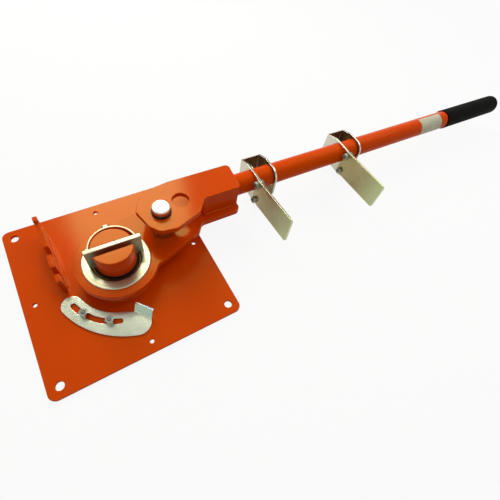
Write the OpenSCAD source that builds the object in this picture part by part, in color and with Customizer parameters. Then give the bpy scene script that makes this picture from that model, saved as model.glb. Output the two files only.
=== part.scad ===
// Hand lever bender for reinforcing bar, in millimetres.
// The origin is the centre of the base plate's underside. X runs along the lever, Z is up.

/* [Base plate] */
// Side of the square base plate
plate_side = 260; // [240:5:320]
// Thickness of the base plate
plate_t = 5; // [4:0.5:12]
// Radius of the plate's corners
plate_corner_r = 10; // [4:1:14]
// Distance of the bolt holes from the plate's edges
bolt_inset = 15; // [10:1:20]
// Diameter of the corner bolt holes
bolt_hole_d = 11; // [7:0.5:14]
// Diameter of the small holes in the middle of each edge
edge_hole_d = 6; // [4:0.5:10]

/* [Post] */
// Radius of the slotted head that the bar is bent round
head_r = 27; // [24:0.5:32]
// Height of the slotted head above the hub ring
head_h = 34.5; // [28:0.5:45]
// Width of the slot across the head
slot_w = 13.5; // [12:0.5:16]
// Shift of the slot's middle from the post's axis
slot_shift = -0.75; // [-1.5:0.25:0]
// Turn of the slot from the plate's front edge
slot_turn = -2; // [-10:0.5:10]
// Step from the head out to the bearing journal
journal_step = 3; // [2.5:0.25:5]
// Ledge of the foot outside the journal
foot_ledge = 15; // [12:1:20]
// Height of the foot
foot_h = 22; // [19:0.5:30]

/* [Bearing] */
// Thickness of the thrust washer
washer_t = 2.5; // [1.5:0.25:4]
// Wall of the bush in the hub
bush_wall = 4; // [3:0.5:5]
// Radial clearance of the bush and the roller
run_fit = 0.05; // [0.03:0.01:0.09]
// Clearance between flat faces that turn on each other
face_gap = 0.1; // [0.05:0.05:0.3]
// Gap between the head and the hub ring
ring_gap = 5; // [3:0.1:5.4]
// Width of the hub ring
ring_w = 13; // [11:0.2:17]
// Thickness of the hub ring
ring_t = 3.4; // [3:0.2:5]
// Depth that the hub ring is let into the arm
ring_recess = 2; // [1:0.25:2.5]

/* [Former] */
// Thickness of the former plate
former_t = 5.5; // [4:0.5:7]
// Length of the former plate past the head, each side
former_overhang = 9.5; // [6:0.5:12]
// Shift of the former plate along the slot
former_shift = 1.5; // [0:0.1:1.6]
// Gap between the strap and the head
strap_gap = 2.2; // [2:0.1:3]
// Thickness of the strap
strap_t = 2; // [1.5:0.1:3]
// Height of the strap
strap_h = 20; // [14:1:24]
// Diameter of the strap screw
strap_screw_d = 6; // [4:0.5:8]

/* [Comb bracket] */
// Thickness of the bracket
comb_t = 6; // [4:0.5:10]
// Distance of the bracket's inner face from the post's axis
comb_x = 72; // [68:1:85]
// Distance of the bracket's front end behind the post's axis
comb_front = 1; // [0:0.5:6]
// Lengths along the bracket: low tooth, first notch, middle tooth, second notch, long tooth
comb_steps = [13, 7, 21, 13, 38];
// Heights of the low tooth, the middle tooth, the long tooth's front and back, and the tip
comb_heights = [32, 38, 38, 44.5, 49];
// Heights of the two notch floors
comb_floors = [16, 21];
// Length of the tip
comb_tip = 9; // [6:1:14]

/* [Arm] */
// Thickness of the lower arm plate
lower_t = 10; // [8:0.5:14]
// Thickness of the upper arm plate
upper_t = 8; // [6:0.5:12]
// Rim of the hub outside the ring
hub_rim = 11; // [8:0.5:16]
// Distance of the tube's axis behind the post's axis
tube_y = 46; // [44:0.5:50]
// Distance of the arm plates' ends from the post's axis
arm_end = 200; // [185:1:230]
// Front overhang of the lower plate's tail from the tube's axis
tail_front = 35; // [34:0.5:40]
// Back overhang of the lower plate's tail from the tube's axis
tail_back = 26; // [25:1:34]
// Thickness of the cheeks beside the tube
cheek_t = 6; // [4:0.5:7]
// Distance of the tube's inner end and the cheeks from the post's axis
tube_start = 140; // [136:1:150]
// Angle of the lever in this drawing
lever_rest = -1.2; // [-20:0.1:20]

/* [Roller] */
// Diameter of the roller
roller_d = 35; // [30:0.5:38]
// End play of the roller between the plates
roller_play = 0.3; // [0.2:0.1:0.6]
// Diameter of the roller pin
pin_d = 24; // [18:0.5:26]
// Distance of the pin from the post's axis
pin_reach = 79; // [77:0.5:86]
// Distance of the spare pin hole from the post's axis
spare_reach = 112.5; // [108:0.5:118]
// Angle of the two pin holes from the lever's axis
pin_angle = 16.6; // [14:0.2:19]
// Height of the pin above the upper plate
pin_above = 12.2; // [6:0.2:14]
// Length of the pin below the lower plate
pin_below = 16.5; // [12:0.5:18]
// Slip fit of the pin in the plates
pin_fit = 0.05; // [0.03:0.01:0.1]
// Chamfer at the pin's ends
pin_chamfer = 1.6; // [0.5:0.1:3]

/* [Handle] */
// Outer diameter of the tube
tube_d = 33.7; // [30:0.1:38]
// Wall of the tube
tube_wall = 2; // [1.5:0.1:4]
// Distance of the grip's end from the post's axis
lever_l = 888; // [800:1:1100]
// Length of the grip
grip_l = 180; // [120:1:240]
// Wall of the rubber grip
grip_wall = 1.8; // [1.2:0.1:4]

/* [Angle stop] */
// Thickness of the stop plate
stop_t = 3; // [2:0.25:4]
// Width of sheet between the slot and the stop plate's inner edge
stop_land = 9; // [8:0.25:10]
// Radius of the slot's centre line
stop_slot_r = 76.3; // [75:0.1:78]
// Width of the slot
stop_slot_w = 7.5; // [6.6:0.1:9]
// Diameter of the studs
stud_d = 6; // [5:0.5:6]
// Width across flats of the nuts
nut_af = 10; // [8:0.5:13]
// Height of the nuts
nut_h = 9; // [5:0.5:10]
// Directions of the two studs from the post
stud_angles = [-146, -119.3];
// Directions of the slot's two ends
slot_angles = [-161.3, -110];
// Width of the upturned tab
tab_w = 26.8; // [24:0.2:26.8]
// Length of the upturned tab
tab_l = 22; // [16:0.5:23]
// Lean of the tab
tab_lean = 20; // [10:1:24]

/* [Length stops] */
// Distance of the first clip from the post's axis
clip_1_x = 234.5; // [230:0.5:260]
// Distance of the second clip from the post's axis
clip_2_x = 417.5; // [405:0.5:440]
// Tilt of the first clip round the tube
clip_1_tilt = 2.5; // [0:0.5:10]
// Tilt of the second clip round the tube
clip_2_tilt = 0; // [0:0.5:10]
// Width of a clip along the tube
clip_w = 38; // [30:0.5:44]
// Thickness of the clip's sheet
clip_t = 3; // [2:0.25:4]
// Clearance of the clip's holes round the tube
clip_fit = 0.08; // [0.05:0.01:0.1]
// Width of sheet round the tube's holes
clip_land = 4.2; // [3:0.2:6]
// Distance of the clip's back behind the tube's axis
clip_back = 38; // [34:0.5:42]
// Depth of the clip below the tube's axis
clip_depth = 31.5; // [28:0.5:36]
// Length of the flag
flag_l = 100; // [70:1:110]
// Height of the flag
flag_h = 50; // [40:1:54]
// Thickness of the flag
flag_t = 3; // [2:0.25:4]
// Upward slope of the flag
flag_slope = 4; // [0:0.5:8]
// Diameter of the flag bolts
bolt_d = 6; // [4:0.5:8]
// Width across flats of the flag bolts' heads and nuts
bolt_af = 10; // [8:0.5:11]
// Height of the flag bolts' nuts
bolt_nut_h = 5; // [4:0.5:7]
// Diameter of the clip screws
clip_screw_d = 8; // [6:0.5:10]

/* [Hidden] */
$fn = 96;

// Paint and metal colours
orange = [0.86, 0.28, 0.06];
zinc = [0.80, 0.82, 0.76];
bronze = [0.70, 0.52, 0.28];
steel = [0.86, 0.87, 0.88];
dark_steel = [0.24, 0.24, 0.25];
rubber = [0.06, 0.06, 0.06];

// Overlap of a cutting tool past the face that it cuts
cut = 1;

// Heights of the stack, from the floor up
foot_z = plate_t;
washer_z = foot_z + foot_h;
lower_z = washer_z + washer_t + face_gap;
lower_top = lower_z + lower_t;
ring_z = lower_top - ring_recess;
ring_top = ring_z + ring_t;
slot_z = ring_top + face_gap;
head_top = ring_top + head_h;
weld_gap = 0.05;
arm_gap = tube_d + 2 * weld_gap;
tube_z = lower_top + arm_gap / 2;
upper_z = lower_top + arm_gap;
upper_top = upper_z + upper_t;

// Radii of the post and the hub
journal_r = head_r + journal_step;
journal_drop = 1.6;
journal_top = ring_z - journal_drop;
foot_r = journal_r + foot_ledge;
bush_r = journal_r + run_fit + bush_wall;
ring_bore_r = head_r + ring_gap;
ring_r = ring_bore_r + ring_w;
hub_r = ring_r + hub_rim;
edge_r = 0.8;
ring_fit = 0.05;

// Corners of the comb's teeth and notches
comb_tooth_r = 2;
comb_floor_r = 2.5;

// Former plate, set against the slot's back wall
slot_front = slot_shift - slot_w / 2;
slot_back = slot_shift + slot_w / 2;
former_y = slot_back - former_t;
former_l = 2 * (head_r + former_overhang);
strap_in_r = head_r + strap_gap;
strap_out_r = strap_in_r + strap_t;
screw_play = 0.05;
strap_screw_z = head_top - strap_screw_d;
strap_head_af = 1.7 * strap_screw_d;
strap_head_h = 0.75 * strap_screw_d;

// Pin, roller and tube in the lever's own frame
pin_at = pin_reach * [cos(pin_angle), sin(pin_angle)];
spare_at = spare_reach * [cos(pin_angle), sin(pin_angle)];
pin_r = pin_d / 2;
pin_top = upper_top + pin_above;
pin_bottom = lower_z - pin_below;
circlip_t = 1.5;
circlip_w = 2.6;
circlip_fit = 0.05;
groove_depth = 0.8;
tube_r = tube_d / 2;
grip_x = lever_l - grip_l;
grip_r = tube_r + grip_wall;
grip_cap = 6;
grip_bead = 1.2;
cheek_inset = 1.2;
tail_half = tube_r + weld_gap + cheek_t + cheek_inset;
flank_rise = 19.6;
flank_fillet = 6;

// Stop plate: its wide edge is an arc with a centre of its own
stop_z = plate_t + face_gap;
stop_inner_r = stop_slot_r - stop_slot_w / 2 - stop_land;
stop_wide_at = stop_slot_r * [0.328, 0.153];
stop_inner_end = -106;
stop_cap_lift = 0.95;
stop_cap_mid = stop_slot_r + stop_cap_lift;
stop_cap_angle = -162.6;
stop_corner_r = 17;
tab_rim = 3.65;
tab_root_angle = -95.6;
tab_root = (stop_inner_r + tab_rim) * [cos(tab_root_angle), sin(tab_root_angle)];
tab_turn = -52.8;
tab_corner_r = 2.5;
tab_bend_r = 1.5;
tab_tongue = 4;
tab_inset = 0.4;
tab_lead = 0.3;
stud_above = 1;
stud_fit = 0.05;

// Sheet clips and their flags
clip_corner_r = 7;
clip_edge_r = 3;
clip_bend_r = 2;
clip_shoulder = 12.5;
flag_root = 17;
flag_drop = 27;
flag_corner_r = 5;
flag_seat = 10;
bolt_spread = 34;
bolt_in = 4;
bolt_head_h = 4;
bolt_above = 1.5;
clip_screw_gap = 0.2;
clip_screw_drop = 3;
clip_head_af = 1.6 * clip_screw_d;
clip_head_h = 0.65 * clip_screw_d;
clip_head_gap = 2;

// Point at a radius and an angle
function polar(r, a) = r * [cos(a), sin(a)];

// Points of an arc about a centre, from one direction to another
function arc(centre, r, a0, a1, steps = 12) =
    [for (i = [0 : steps]) centre + polar(r, a0 + (a1 - a0) * i / steps)];

// Angle of the straight line from one point to another
function heading(a, b) = atan2(b[1] - a[1], b[0] - a[0]);

// Point where two circles meet, on the right hand of the line from the first centre to the second
function circles_meet(a, ra, b, rb) =
    let (
        d = norm(b - a),
        along = (d * d + ra * ra - rb * rb) / (2 * d),
        across = sqrt(ra * ra - along * along)
    )
    a + polar(along, heading(a, b)) + polar(across, heading(a, b) - 90);

// Arc points of one corner [x, y, r] between its two neighbours
function corner_arc(before, at, after, steps = 10) =
    let (
        p = [at[0], at[1]],
        a_in = heading(p, before),
        a_out = heading(p, after),
        turn = (a_out - a_in + 540) % 360 - 180,
        half = abs(turn) / 2,
        side = sign(turn),
        middle = a_in + turn / 2,
        centre = p + at[2] / sin(half) * [cos(middle), sin(middle)],
        sweep = 180 - abs(turn)
    )
    at[2] <= 0 ? [p]
    : [for (i = [0 : steps]) centre + polar(at[2], a_in - side * 90 - side * sweep * i / steps)];

// Closed outline with a radius at each corner, from points [x, y, r]
function rounded(points) =
    let (n = len(points))
    [for (i = [0 : n - 1])
        each corner_arc(points[(i + n - 1) % n], points[i], points[(i + 1) % n])];

module rounded_polygon(points) polygon(rounded(points));

// Places its children in the lever's frame
module on_lever() rotate([0, 0, lever_rest]) children();

// Turns its children with the post's slot
module on_slot() rotate([0, 0, slot_turn]) children();

// Places its children on the tube's axis, with Z along the tube
module on_tube(x) on_lever() translate([x, tube_y, tube_z]) rotate([90, 0, 90]) children();

// Regular hexagon by its width across flats
module hexagon(across) circle(d = across / cos(30), $fn = 6);

// Flat slab of an outline between two heights
module slab(z, t) translate([0, 0, z]) linear_extrude(t) children();

module base_plate() color(orange)
    slab(0, plate_t) difference() {
        h = plate_side / 2;
        rounded_polygon([for (c = [[-h, -h], [h, -h], [h, h], [-h, h]]) [c[0], c[1], plate_corner_r]]);
        b = h - bolt_inset;
        for (x = [-b, b], y = [-b, b]) translate([x, y]) circle(d = bolt_hole_d);
        for (a = [0 : 90 : 270]) translate(polar(b, a)) circle(d = edge_hole_d);
        for (a = stud_angles) translate(polar(stop_slot_r, a)) circle(d = stud_d + 2 * stud_fit);
    }

module mandrel_post() color(orange)
    difference() {
        rotate_extrude() polygon([
            [0, foot_z], [foot_r, foot_z], [foot_r, washer_z - edge_r], [foot_r - edge_r, washer_z],
            [journal_r, washer_z], [journal_r, journal_top], [head_r, journal_top],
            [head_r, head_top - edge_r], [head_r - edge_r, head_top], [0, head_top]
        ]);
        on_slot() translate([-head_r - cut, slot_front, slot_z])
            cube([2 * (head_r + cut), slot_w, head_h + cut]);
    }

module thrust_washer() color(bronze)
    slab(washer_z, washer_t) difference() {
        circle(r = foot_r - edge_r);
        circle(r = journal_r + run_fit);
    }

// Side view of the comb: lengths run back from its front end, heights up from the plate
module comb_outline() {
    y1 = comb_steps[0];
    y2 = y1 + comb_steps[1];
    y3 = y2 + comb_steps[2];
    y4 = y3 + comb_steps[3];
    y5 = y4 + comb_steps[4];
    y6 = y5 + comb_tip;
    rounded_polygon([
        [0, 0, 0], [0, comb_heights[0], comb_tooth_r], [y1, comb_heights[0], comb_tooth_r],
        [y1, comb_floors[0], comb_floor_r], [y2, comb_floors[0], comb_floor_r],
        [y2, comb_heights[1], comb_tooth_r], [y3, comb_heights[1], comb_tooth_r],
        [y3, comb_floors[1], comb_floor_r], [y4, comb_floors[1], comb_floor_r],
        [y4, comb_heights[2], comb_tooth_r], [y5, comb_heights[3], comb_tooth_r],
        [y5, comb_heights[4], comb_tooth_r], [y6, comb_heights[4], comb_tooth_r], [y6, 0, 0]
    ]);
}

module comb_bracket() color(orange)
    translate([-comb_x - comb_t, comb_front, plate_t]) rotate([90, 0, 90])
        linear_extrude(comb_t) comb_outline();

module former_plate() color(zinc)
    on_slot() translate([former_shift - former_l / 2, former_y, slot_z])
        cube([former_l, former_t, head_top - slot_z]);

module former_strap() color(zinc)
    on_slot() translate([former_shift, 0, 0]) difference() {
        slab(head_top - strap_h, strap_h) difference() {
            circle(r = strap_out_r);
            circle(r = strap_in_r);
            translate([-strap_out_r - cut, -strap_out_r - cut])
                square([2 * (strap_out_r + cut), strap_out_r + cut + slot_back]);
        }
        translate([0, head_r, strap_screw_z]) rotate([-90, 0, 0])
            cylinder(d = strap_screw_d + 2 * screw_play, h = strap_out_r);
    }

module strap_screw() color(zinc)
    on_slot() translate([former_shift, head_r, strap_screw_z]) rotate([-90, 0, 0]) {
        cylinder(d = strap_screw_d, h = strap_out_r - head_r);
        slab(strap_out_r - head_r, strap_head_h) hexagon(strap_head_af);
    }

module stop_studs() color(zinc)
    for (a = stud_angles) translate(polar(stop_slot_r, a))
        cylinder(d = stud_d, h = stop_z + stop_t + face_gap + nut_h + stud_above);

module stop_nuts() color(zinc)
    for (a = stud_angles) translate(polar(stop_slot_r, a))
        slab(stop_z + stop_t + face_gap, nut_h) difference() {
            rotate(a) hexagon(nut_af);
            circle(d = stud_d + 2 * stud_fit);
        }

module stop_slot() {
    half = stop_slot_w / 2;
    from = slot_angles[0];
    to = slot_angles[1];
    polygon(concat(
        arc([0, 0], stop_slot_r + half, from, to, 30),
        arc(polar(stop_slot_r, to), half, to + 15, to + 165, 10),
        arc([0, 0], stop_slot_r - half, to, from, 30),
        arc(polar(stop_slot_r, from), half, from + 195, from + 345, 10)
    ));
}

module stop_outline() difference() {
    cap_r = stop_cap_mid - stop_inner_r;
    cap_at = polar(stop_cap_mid, stop_cap_angle);
    wide_from = heading(stop_wide_at, cap_at);
    wide_r = norm(cap_at - stop_wide_at) + cap_r;
    fold_tip = tab_root + polar(tab_w + 2 * tab_inset, tab_turn);
    corner_at = circles_meet(stop_wide_at, wide_r - stop_corner_r, fold_tip, stop_corner_r);
    wide_end = heading(stop_wide_at, corner_at);
    fold_end = heading(corner_at, fold_tip);
    polygon(concat(
        arc([0, 0], stop_inner_r, stop_inner_end, stop_cap_angle, 24),
        arc(cap_at, cap_r, stop_cap_angle + 190, wide_from + 350, 16),
        arc(stop_wide_at, wide_r, wide_from, wide_end, 20),
        arc(corner_at, stop_corner_r, wide_end + 6, fold_end, 14),
        [tab_root]
    ));
    stop_slot();
}

// Side view of the bent tab, from a short flat tongue up to its edge
module tab_profile() {
    a = 90 - tab_lean;
    in = tab_bend_r;
    out = tab_bend_r + stop_t;
    tip = tab_l - out;
    inner = arc([tab_lead, out], in, -90, a - 90, 6);
    outer = arc([tab_lead, out], out, a - 90, -90, 6);
    polygon(concat(
        [[-tab_tongue, 0], [-tab_tongue, stop_t]],
        inner,
        [inner[6] + polar(tip, a), outer[0] + polar(tip, a)],
        outer
    ));
}

module stop_plate() color(zinc)
    translate([0, 0, stop_z]) {
        linear_extrude(stop_t) stop_outline();
        translate(tab_root + polar(tab_inset, tab_turn)) rotate([0, 0, tab_turn]) intersection() {
            rotate([90, 0, 90]) linear_extrude(tab_w) tab_profile();
            rotate([90 - tab_lean, 0, 0]) translate([0, 0, -tab_l]) linear_extrude(2 * tab_l)
                rounded_polygon([
                    [0, -tab_l, 0], [tab_w, -tab_l, 0],
                    [tab_w, tab_l, tab_corner_r], [0, tab_l, tab_corner_r]
                ]);
        }
    }

// Lower plate: hub disc, a straight front flank that runs into it with a fillet, and a back flank
// that leaves it at a tangent
module lower_outline() {
    front = tube_y - tail_front;
    back = tube_y + tail_back;
    flank = [spare_at[0] + 13.5, -3.5];
    outward = polar(1, flank_rise - 90);
    fillet_off = flank * outward + flank_fillet;
    fillet_along = sqrt(pow(hub_r + flank_fillet, 2) - fillet_off * fillet_off);
    fillet_at = fillet_off * outward + polar(fillet_along, flank_rise);
    fillet_dir = heading([0, 0], fillet_at);
    flank_at = fillet_at - flank_fillet * outward;
    shoulder = [pin_at[0] + 32, back];
    shoulder_out = asin(hub_r / norm(shoulder));
    shoulder_dir = heading([0, 0], shoulder) + 90 - shoulder_out;
    shoulder_at = polar(hub_r, shoulder_dir);
    polygon(concat(
        rounded([
            [flank_at[0], flank_at[1], 0], [flank[0], flank[1], 7], [flank[0] + 11.5, front, 10],
            [arm_end, front, 9], [arm_end, back, 9], [shoulder[0], shoulder[1], 30],
            [shoulder_at[0], shoulder_at[1], 0]
        ]),
        arc([0, 0], hub_r, shoulder_dir + 4, fillet_dir + 360, 54),
        arc(fillet_at, flank_fillet, fillet_dir + 175, flank_rise + 95, 6)
    ));
}

module lower_arm_plate() color(orange)
    on_lever() difference() {
        slab(lower_z, lower_t) difference() {
            lower_outline();
            circle(r = bush_r);
            for (p = [pin_at, spare_at]) translate(p) circle(r = pin_r + pin_fit);
        }
        slab(ring_z, ring_t) circle(r = ring_r + ring_fit);
    }

module hub_bush() color(bronze)
    slab(lower_z, ring_z - lower_z) difference() {
        circle(r = bush_r);
        circle(r = journal_r + run_fit);
    }

module hub_ring() color(zinc)
    rotate_extrude() polygon([
        [ring_bore_r, ring_z], [ring_r, ring_z], [ring_r, ring_top - edge_r], [ring_r - edge_r, ring_top],
        [ring_bore_r, ring_top]
    ]);

// Upper plate: eight-sided head round the pin, then a straight tail over the tube
module upper_outline() {
    p = pin_at;
    s = spare_at;
    rounded_polygon([
        [p[0] - 31.5, p[1] + 13, 4], [p[0] - 23.5, p[1] - 17, 10], [p[0] - 13, p[1] - 30, 12],
        [p[0] + 10, p[1] - 34, 10], [s[0] + 17, s[1] - 30, 10], [s[0] + 33, tube_y - tail_half, 8],
        [arm_end, tube_y - tail_half, 6], [arm_end + 3, tube_y + tail_half, 7],
        [s[0] - 4, tube_y + tail_half, 20], [p[0] - 16, p[1] + 42, 16]
    ]);
}

module upper_arm_plate() color(orange)
    on_lever() slab(upper_z, upper_t) difference() {
        upper_outline();
        for (p = [pin_at, spare_at]) translate(p) circle(r = pin_r + pin_fit);
    }

module arm_cheek(y) color(orange)
    on_lever() translate([tube_start, y, lower_top])
        cube([arm_end - cheek_inset - tube_start, cheek_t, arm_gap]);

module arm_cheek_front() arm_cheek(tube_y - tube_r - weld_gap - cheek_t);

module arm_cheek_back() arm_cheek(tube_y + tube_r + weld_gap);

module handle_tube() color(orange)
    on_tube(tube_start) difference() {
        cylinder(r = tube_r, h = lever_l - grip_cap - tube_start);
        translate([0, 0, -cut])
            cylinder(r = tube_r - tube_wall, h = lever_l - grip_cap - tube_start + 2 * cut);
    }

module handle_grip() color(rubber)
    on_tube(grip_x) rotate_extrude() {
        inner = grip_l - grip_cap;
        dome_r = grip_r * 0.62;
        polygon([
            [tube_r, 0], [grip_r - grip_bead, 0], [grip_r, grip_bead], [grip_r, grip_l - dome_r],
            for (a = [10 : 10 : 80])
                [grip_r - dome_r + dome_r * cos(a), grip_l - dome_r + dome_r * sin(a)],
            [grip_r - dome_r, grip_l], [0, grip_l], [0, inner], [tube_r, inner]
        ]);
    }

module roller_pin() color(steel)
    on_lever() translate(pin_at) rotate_extrude() polygon([
        [0, pin_bottom], [pin_r - pin_chamfer, pin_bottom], [pin_r, pin_bottom + pin_chamfer],
        [pin_r, upper_top], [pin_r - groove_depth, upper_top],
        [pin_r - groove_depth, upper_top + circlip_t + circlip_fit],
        [pin_r, upper_top + circlip_t + circlip_fit], [pin_r, pin_top - pin_chamfer],
        [pin_r - pin_chamfer, pin_top], [0, pin_top]
    ]);

module pin_circlip() color(dark_steel)
    on_lever() translate(pin_at) slab(upper_top, circlip_t) difference() {
        inside = pin_r - groove_depth + circlip_fit;
        circle(r = inside + circlip_w);
        circle(r = inside);
        polygon([[0, 0], polar(2 * pin_r, 72), polar(2 * pin_r, 108)]);
    }

module bending_roller() color(dark_steel)
    on_lever() translate(pin_at) difference() {
        roller_h = arm_gap - 2 * roller_play;
        rotate_extrude() polygon([
            [pin_r + run_fit, lower_top + roller_play], [roller_d / 2 - edge_r, lower_top + roller_play],
            [roller_d / 2, lower_top + roller_play + edge_r],
            [roller_d / 2, lower_top + roller_play + roller_h - edge_r],
            [roller_d / 2 - edge_r, lower_top + roller_play + roller_h],
            [pin_r + run_fit, lower_top + roller_play + roller_h]
        ]);
    }

// Clip sheet seen along the tube: X is across the tube to the back, Y is up
module leg_outline(front, top_r) {
    r = tube_r + clip_land;
    difference() {
        rounded_polygon([
            [clip_back, clip_shoulder, clip_edge_r], [0.7 * r, r, clip_corner_r], [-front, r, top_r],
            [-front, -clip_depth, clip_corner_r], [clip_back, -clip_depth, clip_edge_r]
        ]);
        circle(r = tube_r + clip_fit);
    }
}

// Clip sheet seen from above: two legs and a web with round bends
module clip_plan() difference() {
    reach = 3 * tube_r;
    rounded_polygon([
        [-reach, 0, 0], [clip_back, 0, clip_bend_r + clip_t], [clip_back, clip_w, clip_bend_r + clip_t],
        [-reach, clip_w, 0]
    ]);
    inside = clip_back - clip_t;
    rounded_polygon([
        [-reach - cut, clip_t, 0], [inside, clip_t, clip_bend_r], [inside, clip_w - clip_t, clip_bend_r],
        [-reach - cut, clip_w - clip_t, 0]
    ]);
}

module clip_bracket(x, tilt) color(zinc)
    on_tube(x) rotate(-tilt) difference() {
        intersection() {
            translate([0, 2 * tube_r, 0]) rotate([90, 0, 0]) linear_extrude(5 * tube_r) clip_plan();
            union() {
                linear_extrude(clip_w / 2) leg_outline(tube_r + clip_land + flag_seat, clip_corner_r);
                translate([0, 0, clip_w / 2]) linear_extrude(clip_w / 2)
                    leg_outline(tube_r + clip_land, tube_r + clip_land - clip_edge_r);
            }
        }
        translate([tube_r, -clip_screw_drop, clip_w / 2]) rotate([0, 90, 0])
            cylinder(d = clip_screw_d + 2 * screw_play, h = clip_back);
        for (p = bolt_places) translate([p[0], p[1], -cut])
            cylinder(d = bolt_d + 2 * screw_play, h = clip_t + 2 * cut);
    }

// Middle height of the flag's root, and the bolts through it
flag_mid = flag_h / 2 - flag_drop;
bolt_places = [for (s = [-1, 1]) [-tube_r - clip_land - bolt_in, flag_mid + s * bolt_spread / 2]];

module clip_flag(x, tilt) color(zinc)
    on_tube(x) rotate(-tilt) translate([0, 0, -flag_t]) linear_extrude(flag_t) difference() {
        rise = flag_l * tan(flag_slope);
        rounded_polygon([
            [-flag_root, -flag_drop, flag_corner_r], [-flag_root, flag_h - flag_drop, flag_corner_r],
            [-flag_root - flag_l, flag_h - flag_drop + rise, flag_corner_r],
            [-flag_root - flag_l, rise - flag_drop, flag_corner_r]
        ]);
        circle(r = tube_r + clip_fit + clip_land / 2);
        for (p = bolt_places) translate(p) circle(d = bolt_d + 2 * screw_play);
    }

// Bolts with their heads inside the clip and their nuts on the flag
module clip_bolts(x, tilt) color(zinc)
    on_tube(x) rotate(-tilt) for (p = bolt_places) translate(p) {
        tail = flag_t + bolt_nut_h + bolt_above;
        translate([0, 0, -tail]) cylinder(d = bolt_d, h = tail + clip_t);
        slab(clip_t, bolt_head_h) hexagon(bolt_af);
    }

module clip_nuts(x, tilt) color(zinc)
    on_tube(x) rotate(-tilt) for (p = bolt_places) translate(p)
        slab(-flag_t - bolt_nut_h, bolt_nut_h) difference() {
            hexagon(bolt_af);
            circle(d = bolt_d + 2 * stud_fit);
        }

module clip_screw(x, tilt) color(zinc)
    on_tube(x) rotate(-tilt) translate([0, -clip_screw_drop, clip_w / 2]) rotate([0, 90, 0]) {
        tip = tube_r + clip_screw_gap;
        translate([0, 0, tip]) cylinder(d = clip_screw_d, h = clip_back + clip_head_gap - tip);
        slab(clip_back + clip_head_gap, clip_head_h) hexagon(clip_head_af);
    }

module clip_1_bracket() clip_bracket(clip_1_x, clip_1_tilt);
module clip_1_flag() clip_flag(clip_1_x, clip_1_tilt);
module clip_1_bolts() clip_bolts(clip_1_x, clip_1_tilt);
module clip_1_nuts() clip_nuts(clip_1_x, clip_1_tilt);
module clip_1_screw() clip_screw(clip_1_x, clip_1_tilt);
module clip_2_bracket() clip_bracket(clip_2_x, clip_2_tilt);
module clip_2_flag() clip_flag(clip_2_x, clip_2_tilt);
module clip_2_bolts() clip_bolts(clip_2_x, clip_2_tilt);
module clip_2_nuts() clip_nuts(clip_2_x, clip_2_tilt);
module clip_2_screw() clip_screw(clip_2_x, clip_2_tilt);

base_plate();
mandrel_post();
thrust_washer();
comb_bracket();
former_plate();
former_strap();
strap_screw();
stop_studs();
stop_nuts();
stop_plate();
lower_arm_plate();
hub_bush();
hub_ring();
upper_arm_plate();
arm_cheek_front();
arm_cheek_back();
handle_tube();
handle_grip();
roller_pin();
pin_circlip();
bending_roller();
clip_1_bracket();
clip_1_flag();
clip_1_bolts();
clip_1_nuts();
clip_1_screw();
clip_2_bracket();
clip_2_flag();
clip_2_bolts();
clip_2_nuts();
clip_2_screw();
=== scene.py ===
# Hand lever bender for reinforcing bar: finishes, rounded edges and small details, in metres.

import math

import bmesh
import bpy
from mathutils import Matrix, Vector


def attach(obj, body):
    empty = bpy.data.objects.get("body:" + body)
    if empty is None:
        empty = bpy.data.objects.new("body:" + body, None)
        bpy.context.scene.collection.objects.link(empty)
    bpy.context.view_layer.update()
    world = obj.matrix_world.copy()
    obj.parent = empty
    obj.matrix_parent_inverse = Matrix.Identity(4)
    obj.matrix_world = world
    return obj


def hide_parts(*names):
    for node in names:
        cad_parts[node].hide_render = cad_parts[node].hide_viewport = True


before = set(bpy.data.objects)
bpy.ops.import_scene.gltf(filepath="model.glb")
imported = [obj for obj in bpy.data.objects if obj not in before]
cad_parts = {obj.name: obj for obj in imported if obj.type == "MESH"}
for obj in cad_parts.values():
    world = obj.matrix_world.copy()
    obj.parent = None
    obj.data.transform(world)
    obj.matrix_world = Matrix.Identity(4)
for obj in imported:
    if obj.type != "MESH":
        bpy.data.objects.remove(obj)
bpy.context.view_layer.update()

MM = 0.001

# Sizes of the machine that the pieces below sit on, in millimetres and degrees
LEVER_REST = -1.2
SLOT_TURN = -2
TUBE_Y = 46
TUBE_Z = 56.5
TUBE_R = 16.85
PLATE_TOP = 5
FOOT_R = 45
COMB_SIDES = (-78.1, -71.9)
COMB_ENDS = (7, 97)
ARM_END = 200
ARM_TOP = 81.4
CHEEK_ENDS = (143, 197)
CHEEK_BOTTOM = 39.6
CHEEK_TOP = 73.4
CHEEK_SIDE = TUBE_R + 6.25
PIN_AT = (75.708, 22.569)
PIN_R = 12
PIN_BOTTOM = 13.1
PIN_TOP = 93.6
GROOVE_DEPTH = 0.8
GROOVE_TOP = ARM_TOP + 1.55
RING_TOP = 41.0
RING_BORE = 32
STRAP_SCREW_AT = (1.5, 27, 69.5)
GRIP_START = 708
GRIP_L = 180
GRIP_R = TUBE_R + 1.8
GRIP_CAP = 6
LABEL_ENDS = (627, 688)
LABEL_TURN = 75
LABEL_SWEEP = 150
STOP_TOP = 8.1
STUD_CIRCLE = 76.3
STUD_ANGLES = (-146, -119.3)

# Length stops: place along the tube and tilt, then what both have
CLIPS = {"1": (234.5, 2.5), "2": (417.5, 0)}
CLIP_W = 38
CLIP_BACK = 38
CLIP_SHEET = 3
BOLT_HEIGHTS = (15, -19)
BOLT_FRONT = -25.05

# Threads: radius, pitch and core, and the M6 nut
M6_R, M6_PITCH, M6_CORE = 3.0, 1.0, 2.45
M8_R, M8_PITCH, M8_CORE = 4.0, 1.25, 3.25
M6_ACROSS, M6_BORE = 10, 2.95

# Welds, and the limits that rounding works to
WELD_STEP = 0.8
WELD_RIPPLE = 0.10
JOIN_WITHIN = 0.002
FLAT_BELOW = 0.6
CORNER_ABOVE = 28


# Places on the machine

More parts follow.
